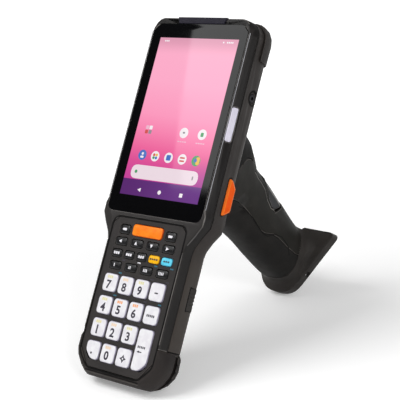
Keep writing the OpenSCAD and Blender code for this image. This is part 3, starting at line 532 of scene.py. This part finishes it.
def bar(w, l, share=0.3):
    """Outline of a bar from -w/2 to w/2 and -l/2 to l/2, its corners rounded over a share of its
    smaller side."""
    return rounded_path([(-w / 2, -l / 2), (w / 2, -l / 2), (w / 2, l / 2), (-w / 2, l / 2)],
                        min(w, l) * share, 4)


def disc(r, n=24):
    """Outline of a circle: r (cos a, sin a) at n even steps of a."""
    a = np.arange(n) * 2 * np.pi / n
    return np.stack([np.cos(a), np.sin(a)], axis=1) * r


def arrow(turn, scale=1.0):
    """Triangle 2.5 long and 2.5 across, turned by so many quarter turns from pointing right."""
    a = math.radians(90 * turn)
    spin = np.array([[math.cos(a), math.sin(a)], [-math.sin(a), math.cos(a)]])
    return rounded_path(scale * np.array([(-1.1, -1.25), (1.4, 0), (-1.1, 1.25)]) @ spin,
                        0.25 * scale, 2)


def row(n, w, l, pitch):
    """Outlines of n small bars in the place of a word, the k-th at (k - (n - 1) / 2) pitch."""
    return [bar(w, l, 0.2) + ((k - (n - 1) / 2) * pitch, 0) for k in range(n)]


picture = {"white": "#fbf4f8", "pill": "#f3dfe9", "blue": "#2466c4", "red": "#d8433c",
           "green": "#2f9d58", "yellow": "#f2be2d", "grey": "#8d8790", "label": "#f6bcd3"}
lights = []
for name, colour in picture.items():
    light = Finish("picture_" + name, Specular_IOR_Level=0.13, Roughness=0.05,
                   Emission_Strength=0.92, Base_Color=rgb("#050506"))
    light.feed(Emission_Color=light.mix(light.noise(2.5) * 0.14, rgb(colour), rgb("#ffffff")))
    lights.append(light)
WHITE, PILL, BLUE, RED, GREEN, YELLOW, GREY, LABEL = range(8)

layer = 0.012
near, over = glass_top + layer, glass_top + 2 * layer
top_row, discs_low, discs_high, labels_y, pill_y, bar_y = 44.8, -23.2, -8.3, -13.4, -33, -43.2
low_x = [-18.8, -9.4, 0.3, 10.0, 19.7]
high_x = [6.6, 19.4]
dot, stripe, small_square = disc(0.85, 12), bar(3.4, 0.9, 0.3), bar(2.2, 2.2, 0.2)

shown_marks = [(mark(disc(3.0), x, discs_low, near), tint)
               for x, tint in zip(low_x, (BLUE, WHITE, WHITE, WHITE, GREEN))]
shown_marks += [(mark(disc(3.0), x, discs_high, near), WHITE) for x in high_x]
shown_marks += [(mark(disc(0.8, 12), low_x[0], discs_low + 0.8, over), WHITE),
                (mark(bar(2.4, 1.2, 0.45), low_x[0], discs_low - 1.1, over), WHITE)]
shown_marks += [(mark(dot, low_x[1] + x, discs_low + y, over), tint) for x, y, tint in (
    (-0.9, 0.8, RED), (0.9, 0.8, YELLOW), (-0.9, -0.9, GREEN), (0.9, -0.9, BLUE))]
shown_marks += [(mark(bar(3.2, 3.2, 0.2), low_x[2], discs_low, over), BLUE),
                (mark(stripe, low_x[3], discs_low + 0.8, over), RED),
                (mark(stripe, low_x[3], discs_low - 1.0, over), RED),
                (mark(bar(2.4, 4.4, 0.4), low_x[4] + 1.2, discs_low, over), YELLOW),
                (mark(disc(1.1, 16), low_x[4] - 0.5, discs_low + 0.2, over + layer), BLUE),
                (mark(bar(1.6, 1.0, 0.3), high_x[0], discs_high + 0.1, over), GREY),
                (mark(bar(2.0, 2.4, 0.3), high_x[1], discs_high - 0.1, over), GREEN),
                (mark(bar(48, 8, 0.5), 0, pill_y, near), PILL),
                (mark(disc(1.0, 14), -20.3, pill_y, over), GREEN),
                (mark(bar(0.9, 2.2, 0.4), 20.3, pill_y, over), GREY),
                (mark(arrow(2, 0.95), -14.6, bar_y, near), WHITE),
                (mark(disc(1.2, 16), 0.1, bar_y, near), WHITE),
                (mark(bar(2.2, 2.2, 0.1), 15.4, bar_y, near), WHITE)]
shown_marks += [(mark(small_square, -20.3 + 2.6 * (k % 2), -7.0 - 2.6 * (k // 2), near), tint)
                for k, tint in enumerate((LABEL, WHITE, RED, GREY))]
shown_marks += [(mark(form, x, labels_y, near), LABEL)
                for x in high_x for form in row(4, 1.3, 0.6, 1.6)]
shown_marks += [(mark(form, x, top_row, near), WHITE)
                for x, count in ((-22.5, 3), (18.0, 1), (22.5, 4))
                for form in row(count, 0.9, 0.9, 1.2)]
add_piece("look_picture", joined("look_picture", [
    (form[0] + (middle_x, middle_y, 0), form[1], tint) for form, tint in shown_marks]),
    lights, "terminal", "screen_glass")

# ---- Keypad ------------------------------------------------------------------------------------
# Moulded plate with an opening for every key, set into the front shell, its rounded edges painted
# paler as a painted highlight. The keys are hard caps on a silicone sheet over the main board:
# soft-edged, a little domed, with printed figures and marks, and painted shade down their rolled
# edges.

deck = grained("keypad_plate", "#262322", "#2f2b2a", 0.56, 0.6, 0.03)
# The plate's rounded edges are painted paler: a painted highlight.
deck_edge_highlight = grained("keypad_plate_edge_highlight", "#3b3735", "#47423f", 0.42, 0.6, 0.02)
moulded("keypad_plate", 0.2, deck, "keypad", edge=deck_edge_highlight)
dress(rubber, "dome_sheet")
dress(dark_part, "main_board")


def band(path, wide, low, high):
    """Closed strip whose middle follows an anticlockwise plan path: each point moved half the
    width to either side along the path's normal, from height low to high."""
    p = np.asarray(path, float)
    run = np.roll(p, -1, axis=0) - np.roll(p, 1, axis=0)
    run /= np.linalg.norm(run, axis=1)[:, None]
    side = np.stack([run[:, 1], -run[:, 0]], axis=1) * wide / 2
    outer, inner = p + side, p - side
    rings = np.stack([levels(outer, [low])[0], levels(outer, [high])[0],
                      levels(inner, [high])[0], levels(inner, [low])[0]], axis=1)
    n = len(p)
    i, k = np.meshgrid(np.arange(n), np.arange(4), indexing="ij")
    j, m = (i + 1) % n, (k + 1) % 4
    return rings.reshape(-1, 3), np.stack(
        [i * 4 + k, j * 4 + k, j * 4 + m, i * 4 + m], axis=-1).reshape(-1, 4).tolist()


plate_path = rounded_path([(-26.3, -136.6), (-18.4, -144.7), (18.4, -144.7), (26.3, -136.6),
                           (26.3, -59.4), (-26.3, -59.4)], (3, 3, 3, 3, 5.2, 5.2))
add_piece("look_plate_border", joined("look_plate_border", [
    (*band(plate_path * 1.003, 0.9, 0.9, 1.36), 0)]), [groove], "terminal", "keypad")

column = [-16.95, -5.65, 5.65, 16.95]
number_pitch, row_pitch, small_pitch = 12.65, 6.85, 9
number_y = [-97.25 - number_pitch * r for r in range(4)]
row_y = [-66.6 - row_pitch * r for r in range(4)]
number_w, number_l, number_r = 10, 10.1, 2.2
fn_w, fn_l, fn_r = 8.6, 4.6, 1.7
low_z, fn_z, top_z = -1.6, 1.5, 1.9
plate_face, proud = 1.1, 0.02
corner_cut = 4.6


def key_path(w, l, r, side, inset):
    """Plan of a key w by l drawn in by inset; side -1 or 1 takes off that lower corner at 45
    degrees, a cut that shrinks by 2 - sqrt 2 of the inset."""
    x, y, cut = w / 2 - inset, l / 2 - inset, corner_cut - (2 - math.sqrt(2)) * inset
    low = {0: [(-x, -y), (x, -y)], 1: [(-x, -y), (x - cut, -y), (x, cut - y)],
           -1: [(-x, cut - y), (cut - x, -y), (x, -y)]}[side]
    return rounded_path(low + [(x, y), (-x, y)], max(r - inset * 0.6, 0.3))


def figure(text, high, x, y, z):
    """A printed figure high mm tall and drawn bold, its middle at (x, y) and its face at z."""
    curve = bpy.data.curves.new("figure", "FONT")
    curve.body = text
    curve.extrude = 0.004
    curve.offset = 0.03
    curve.resolution_u = 3
    holder = bpy.data.objects.new("figure", curve)
    bpy.context.collection.objects.link(holder)
    flat = bpy.data.meshes.new_from_object(
        holder.evaluated_get(bpy.context.evaluated_depsgraph_get()))
    points = np.zeros(len(flat.vertices) * 3)
    flat.vertices.foreach_get("co", points)
    points = points.reshape(-1, 3)
    faces = [list(face.vertices) for face in flat.polygons]
    bpy.data.objects.remove(holder)
    lowest, highest = points.min(axis=0), points.max(axis=0)
    scale = high / (highest[1] - lowest[1])
    points = (points - (lowest + highest) / 2) * (scale, scale, 1)
    points[:, 2] = np.where(points[:, 2] > 0, z, z - mark_deep)
    return points + (x, y, 0), faces


def cap_finish(name, colour, worn, side, top, shine=0.16):
    """Hard-coated key cap: even colour with a faint cloud on top, and painted shade down its rolled
    edge, a deeper tone from 0.12 to 0.5 mm below the top."""
    made = Finish(name, Specular_IOR_Level=shine)
    x, y, z = unstand(made)
    face = made.mix(made.noise(4, 2.0).ramp(0.35, 0.65), rgb(colour), rgb(worn))
    # The side colour is painted shade on the rolled edge.
    made.feed(Base_Color=made.mix(z.ramp(top - 0.5, top - 0.12), rgb(side), face),
              Roughness=made.noise(3, 2.0) * 0.12 + 0.24)
    made.bump(made.noise(0.35, 1.0), 0.008)
    return made


# Each cap's third colour is the painted shade down its rolled edge.
caps = {"key_black": cap_finish("key_black", "#08080a", "#100f11", "#030303", fn_z, 0.3),
        "key_white": cap_finish("key_white", "#e3e1e6", "#ecebee", "#a29db2", top_z),
        "key_orange": cap_finish("key_orange", "#f57a12", "#fc8a1e", "#cc4a08", top_z),
        "key_yellow": cap_finish("key_yellow", "#f2b10a", "#f8be18", "#a97008", fn_z),
        "key_cyan": cap_finish("key_cyan", "#5acae6", "#6ad5ee", "#2b7d9c", fn_z)}
inks = [grained("ink_" + name, colour, worn, 0.5, 0.5, 0.005) for name, colour, worn in (
    ("grey", "#37333f", "#403b48"), ("pale", "#e6e4ea", "#f0eff3"),
    ("orange", "#f0a878", "#f3b488"), ("yellow", "#dfd8a4", "#e6dfb2"),
    ("teal", "#2f6f86", "#3a7d94"), ("peach", "#ecd0b2", "#efd8be"))]
DARK, PALE, AMBER, STRAW, TEAL, PEACH = range(1, 7)
foot_in, foot_high = 0.8, 1.2
roll_in, roll_down, crown = 1.1, 0.6, 0.08


def key(node, slot, x, y, w, l, r, z, side=0, marks=()):
    """A key's cap: a foot drawn in by foot_in, straight sides, an edge that rolls over along a
    quarter ellipse roll_in wide and roll_down high, and a top that rises by crown towards its
    middle."""
    a = np.radians(np.linspace(0, 90, 7))
    inset = [foot_in, foot_in, 0, *(roll_in * (1 - np.cos(a))), min(w, l) * 0.34]
    shoulder = low_z + foot_high
    high = [low_z, shoulder, shoulder, *(z - crown - roll_down * (1 - np.sin(a))), z]
    rings = [levels(key_path(w, l, r, side, i) + (x, y), [h])[0] for i, h in zip(inset, high)]
    parts = [(*loft(rings), 0)]
    parts += [(*form, number) for form, number in marks]
    mesh = joined("look_" + node, parts, math.radians(50))
    return add_piece("look_" + node, mesh, [caps[slot], *inks], node, slot, node)


z = fn_z + proud
for node, c, inward in (("key_shift_left", 0, 0.5), ("key_shift_right", 3, -0.5)):
    x = column[c] + inward
    key(node, "key_black", x, row_y[0], 7.6, 5.2, fn_r, fn_z,
        marks=[(mark(bar(2.9, 1.3), x, row_y[0], z), PALE)])
key("key_scan", "key_orange", 0, row_y[0] + 0.5, 21.5, 6.6, 1.9, top_z)
for node, c, turn in (("key_arrow_left", 0, 2), ("key_arrow_up", 1, 1),
                      ("key_arrow_down", 2, 3), ("key_arrow_right", 3, 0)):
    key(node, "key_black", column[c], row_y[1], fn_w, fn_l, fn_r, fn_z,
        marks=[(mark(arrow(turn, 0.8), column[c] - 0.5, row_y[1], z), PALE)])
for c, (node, slot, w, count, tall, tint) in enumerate((
        ("key_tab", "key_black", 7.2, 3, 1.5, PALE),
        ("key_escape", "key_black", 7.2, 3, 1.5, PALE),
        ("key_back", "key_black", 7.2, 3, 1.5, PALE),
        ("key_yellow", "key_yellow", 7.8, 4, 0.9, DARK),
        ("key_cyan", "key_cyan", 7.8, 3, 0.9, DARK))):
    x = small_pitch * (c - 2)
    key(node, slot, x, row_y[2], w, fn_l, fn_r, fn_z,
        marks=[(mark(form, x, row_y[2], z), tint) for form in row(count, 1.15, tall, 1.45)])
for c in range(4):
    key(f"key_f{c + 1}", "key_black", column[c], row_y[3], fn_w, fn_l, fn_r, fn_z,
        marks=[(mark(form, column[c] - 0.5, row_y[3], z), PALE)
               for form in row(c + 1, 0.55, 1.7, 1.0)])

z = top_z + proud
figures = [["7", "8", "9", "minus"], ["4", "5", "6", "delete"], ["1", "2", "3"],
           ["point", "0", "menu"]]
legends = dict(zip("0123456789", (PEACH, STRAW, PEACH, STRAW, STRAW, AMBER, AMBER, STRAW,
                                  PEACH, STRAW)))
for r, names in enumerate(figures):
    for c, name in enumerate(names):
        x, y = column[c], number_y[r]
        if name.isdigit():
            marks = [(figure(name, 4.9, x - 0.5, y - 1.2, z), DARK)]
            marks += [(mark(form, x - 0.5, y + 3.1, z), legends[name])
                      for form in row(3, 1.0, 1.5, 1.3)]
        elif name == "minus":
            marks = [(mark(bar(2.4, 0.8), x, y - 0.6, z), DARK)]
        elif name == "delete":
            marks = [(mark(form, x, y - 0.4, z), DARK) for form in row(5, 0.8, 1.3, 1.15)]
        elif name == "point":
            marks = [(mark(bar(1.1, 1.1), x - 0.3, y - 1.8, z), DARK)]
        else:
            out = [(1.3, 0), (0, 1.3), (-1.3, 0), (0, -1.3)]
            marks = [(mark(arrow(q, 0.75) + out[q], x, y - 0.6, z), DARK) for q in range(4)]
        key("key_" + name, "key_white", x, y, number_w, number_l, number_r, top_z,
            -1 if name == "point" else 0, marks)
y = (number_y[2] + number_y[3]) / 2
key("key_enter", "key_white", column[3], y, number_w, number_l + number_pitch, number_r, top_z, 1,
    [(mark(form, column[3] - 0.6, y + 1.4, z), DARK) for form in row(5, 0.75, 1.2, 1.1)]
    + [(mark(bar(2.2, 0.55), column[3] - 0.8, y - 1.2, z), DARK),
       (mark(arrow(2, 0.6), column[3] - 2.2, y - 1.2, z), DARK)])

printed = [(form, x, y, tint) for x, y, tint in (
    (-11.9, -83.7, DARK), (-0.6, -83.7, PALE), (11.4, -83.7, TEAL), (22.6, -83.7, TEAL),
    (-12.0, -91.0, TEAL), (11.1, -91.2, DARK), (21.9, -91.2, DARK), (-11.6, -103.7, TEAL),
    (10.4, -103.6, DARK), (20.6, -103.7, TEAL), (-0.4, -116.2, DARK), (10.3, -116.2, DARK))
    for form in row(3, 0.55, 0.75, 0.75)]
add_piece("look_plate_marks", joined("look_plate_marks", [
    (*mark(form, x, y, plate_face + proud), tint - 1) for form, x, y, tint in printed]),
    inks, "terminal", "keypad")

# ---- Side controls -----------------------------------------------------------------------------
# Scan keys of orange plastic on both sides of the head, their rounded edges painted paler as a
# painted highlight, the power key in the right bevel, and the battery's ribbed latches. All are
# moulded and spring back when let go. Dark strips lie round the scan keys, the side screws and the
# latches, partly seals and partly painted shade of their recesses, and dark strips of painted shade
# along the tail's strap slots widen their shadow.

side_orange = grained("side_key_orange", "#fb5a04", "#ff670a", 0.45, 0.6, 0.02, 0.08)
# The scan keys' rounded edges are painted paler: a painted highlight.
side_orange_edge_highlight = grained("side_key_orange_edge_highlight", "#ff7a1e", "#ff882c", 0.36, 0.6, 0.01, 0.14)
lavender = grained("power_key_lavender", "#dbd7e8", "#e6e2ef", 0.45, 0.45, 0.06, 0.4)
for node in ("scan_key_right", "scan_key_left"):
    moulded(node, 0.5, side_orange, "key_orange", node, side_orange_edge_highlight, 3)
moulded("power_key", 0.4, lavender, "key_lavender", "power_key", steps=3)
latch = grained("latch_plastic", "#2f2c2a", "#3a3633", 0.5, 0.8, 0.05, 0.16)
for node in ("battery_latch_right", "battery_latch_left"):
    moulded(node, 0.2, latch, "grip", node)


def on_side(form, wall, side):
    """A flat form laid on a side wall: its x runs along the terminal, its y up, and its height is
    added to the wall's half width there; the left one is the mirror image, its faces turned round
    again."""
    points, faces = form
    out = points[:, 2] + np.interp(points[:, 1], *wall)
    turned = np.stack([side * out, points[:, 0], points[:, 1]], axis=1)
    return turned, [face[::-side] for face in faces]


key_outline = rounded_path([(-49.6, -14.1), (-46.2, -16.3), (-32.6, -16.3), (-28.05, -10.2),
                            (-28.9, -8.3), (-49.6, -8.3)], 0.8, 3)
screw_outline = disc(4.1, 32) + (17.5, -11.8)
latch_outline = bar(13.0, 6.6, 0.1) + (-96.8, -12.0)
# The side walls' half width at three heights: the heights, then the half widths.
head_wall = ((-17, -14.75, -11.75), (35.93, 37.35, 38.0))
deck_wall = ((-17, -14.75, -11.75), (27.9, 29.7, 30.5))
# Dark strips round the side keys, screws and latches: partly seals, partly painted shade of the
# recesses.
seals_and_recess_shade = []
for side in (1, -1):
    seals_and_recess_shade += [(*on_side(band(outline, wide, -0.6, face), wall_profile, side), 0)
              for outline, wide, face, wall_profile in (
                  (key_outline, 0.7, 0.06, head_wall), (screw_outline, 0.9, 0.1, head_wall),
                  (latch_outline, 0.7, 0.05, deck_wall))]
add_piece("look_side_seals_and_shade", joined("look_side_seals_and_shade", seals_and_recess_shade), [groove], "terminal", "bumper")

# Dark strips beside the tail's strap slots: painted shade that widens the slots' shadow.
tail_wall = np.array([(30.7, -127.4), (31.1, -129), (31.39, -132), (31.26, -136),
                      (29.9, -140), (27.95, -143), (26.2, -145), (23.6, -147)])
slot_low, slot_high = -13.3, -12.1
section = ((0.07, slot_low), (0.07, slot_high), (-0.5, slot_high), (-0.5, slot_low))
slot_shade = []
for side in (1, -1):
    rings = np.stack([levels((tail_wall + (out, 0)) * (side, 1), [z])[0] for out, z in section],
                     axis=1)
    points, faces = loft(rings)
    slot_shade.append((points, [face[::side] for face in faces], 0))
add_piece("look_slot_shade", joined("look_slot_shade", slot_shade), [groove], "terminal", "bumper")

tail_line = [(-19.2, -145.9), (19.2, -145.9), (19.2, -146.5), (-19.2, -146.5)]
add_piece("look_tail_line", joined("look_tail_line", [(*loft(levels(tail_line, (0.7, 1.06))), 0)]),
          [groove], "terminal", "bumper")

# ---- Pistol grip -------------------------------------------------------------------------------
# Two hard shells screwed together, a rubber palm moulded on, and a foot, below a flared neck that
# is screwed to the terminal's back. The trigger sits in the front. On both sides a raised panel
# beside it shows as a painted highlight along its edge with a line of painted shade next to it, and
# the palm's seam as a dark line. The shells' rounded edges are painted paler as a painted highlight,
# and the neck is coloured darker as painted shade.

hard = grained("grip_plastic", "#201f1c", "#2a2825", 0.55, 0.8, 0.05, 0.09)
# The grip's rounded edges, also round the trigger, are painted paler: a painted highlight.
hard_edge_highlight = grained("grip_edge_highlight", "#46423e", "#54504b", 0.4, 0.8, 0.03, 0.3)
palm = grained("grip_rubber", "#1b1a19", "#242220", 0.66, 1.1, 0.09, 0.12)
# The neck's plastic is coloured darker than the shells' as painted shade, for the shadow it lies in
# under the terminal's back.
neck = grained("neck_plastic", "#100f0e", "#181716", 0.6, 0.8, 0.05, 0.05)
sole = grained("foot_plastic", "#2f2c2a", "#3a3633", 0.5, 0.8, 0.05, 0.16)
moulded("grip_neck", 0.45, neck, "grip", edge=groove)
for node in ("grip_shell_right", "grip_shell_left"):
    moulded(node, 0.35, hard, "grip", edge=hard_edge_highlight)
moulded("grip_foot", 0.25, sole, "grip")
moulded("grip_palm", 0.5, palm, "palm", edge=groove)
moulded("trigger", 0.5, dark_part, "grip", "trigger", hard_edge_highlight)
dress(dark_part, "trigger_switch")
beside_x, trail_step = 60.0, 0.8
line_off, line_thick = 6e-5, 1.2e-4


def draped(name, nodes, trail, wide, finish):
    """A strip on both sides of the handle that follows a (y, z) trail: each point of it falls
    from beside_x along x onto the nodes, and moves half the width to both sides, along the cross
    product of the surface's normal and the trail."""
    form = bmesh.new()
    for node in nodes:
        form.from_mesh(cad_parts[node].data)
    skin = BVHTree.FromBMesh(form)
    form.free()
    trail = np.asarray(trail, float)
    run = np.concatenate([[0], np.cumsum(np.linalg.norm(np.diff(trail, axis=0), axis=1))])
    along = np.linspace(0, run[-1], int(run[-1] / trail_step) + 2)
    y, z = np.interp(along, run, trail[:, 0]), np.interp(along, run, trail[:, 1])
    start = stand(np.column_stack([np.full(len(y), beside_x), y, z]))
    fallen = [skin.ray_cast(tuple(point), (-1, 0, 0)) for point in start]
    spot = np.array([hit[0][:] for hit in fallen if hit[0]])
    out = np.array([hit[1][:] for hit in fallen if hit[0]])
    side = np.cross(out, np.gradient(spot, axis=0))
    side *= wide / 2000 / np.linalg.norm(side, axis=1)[:, None]
    right = np.stack([spot - side, spot + side], axis=1) + out[:, None] * line_off
    n = len(spot)
    i = np.arange(n - 1) * 2
    quads = np.stack([i, i + 2, i + 3, i + 1], axis=1)
    left = right * (-1, 1, 1)
    mesh = bpy.data.meshes.new(name)
    mesh.from_pydata(np.concatenate([right, left]).reshape(-1, 3).tolist(), [],
                     np.vstack([quads, quads[:, ::-1] + 2 * n]).tolist())
    made = add_piece(name, mesh, [finish], "terminal", "grip")
    thick = made.modifiers.new("thickness", "SOLIDIFY")
    thick.thickness = line_thick
    thick.offset = -1


panel = [(-12.4, -61), (-15.9, -71), (-19.3, -76.5), (-24.5, -80.2), (-28.2, -85.5),
         (-28.6, -92.5), (-24.4, -99.6)]
# A pale line draped along the raised panel's edge is a painted highlight, and the dark line beside
# it painted shade.
panel_highlight = grained("panel_edge", "#5f5c57", "#6e6a64", 0.4, 0.8, 0.02, 0.3)
draped("look_panel_edge", ["grip_shell_right"], panel, 0.5, panel_highlight)
draped("look_panel_shade", ["grip_shell_right"], np.add(panel, (0.75, 0.1)), 0.7, groove)
draped("look_palm_seam", ["grip_shell_right", "grip_palm"], [
    (-35.3, -54), (-35.2, -60.7), (-38.1, -71), (-44.1, -86), (-44.6, -91), (-41.8, -96.6),
    (-41.7, -104.7), (-45.3, -113.7), (-50.5, -118)], 0.6, groove)

# ---- Fasteners ---------------------------------------------------------------------------------
# Screws with a hexagon socket, the trigger's pin and its return spring, all of blackened steel.
# The screws hold the shells, the neck and the handle together.

steel = Finish("blackened_steel", Base_Color=rgb("#2c2b2e"), Metallic=1.0)
steel.feed(Roughness=steel.noise(1.5) * 0.2 + 0.38)
dress(steel, "housing_screws", "trigger_pin", "trigger_spring")
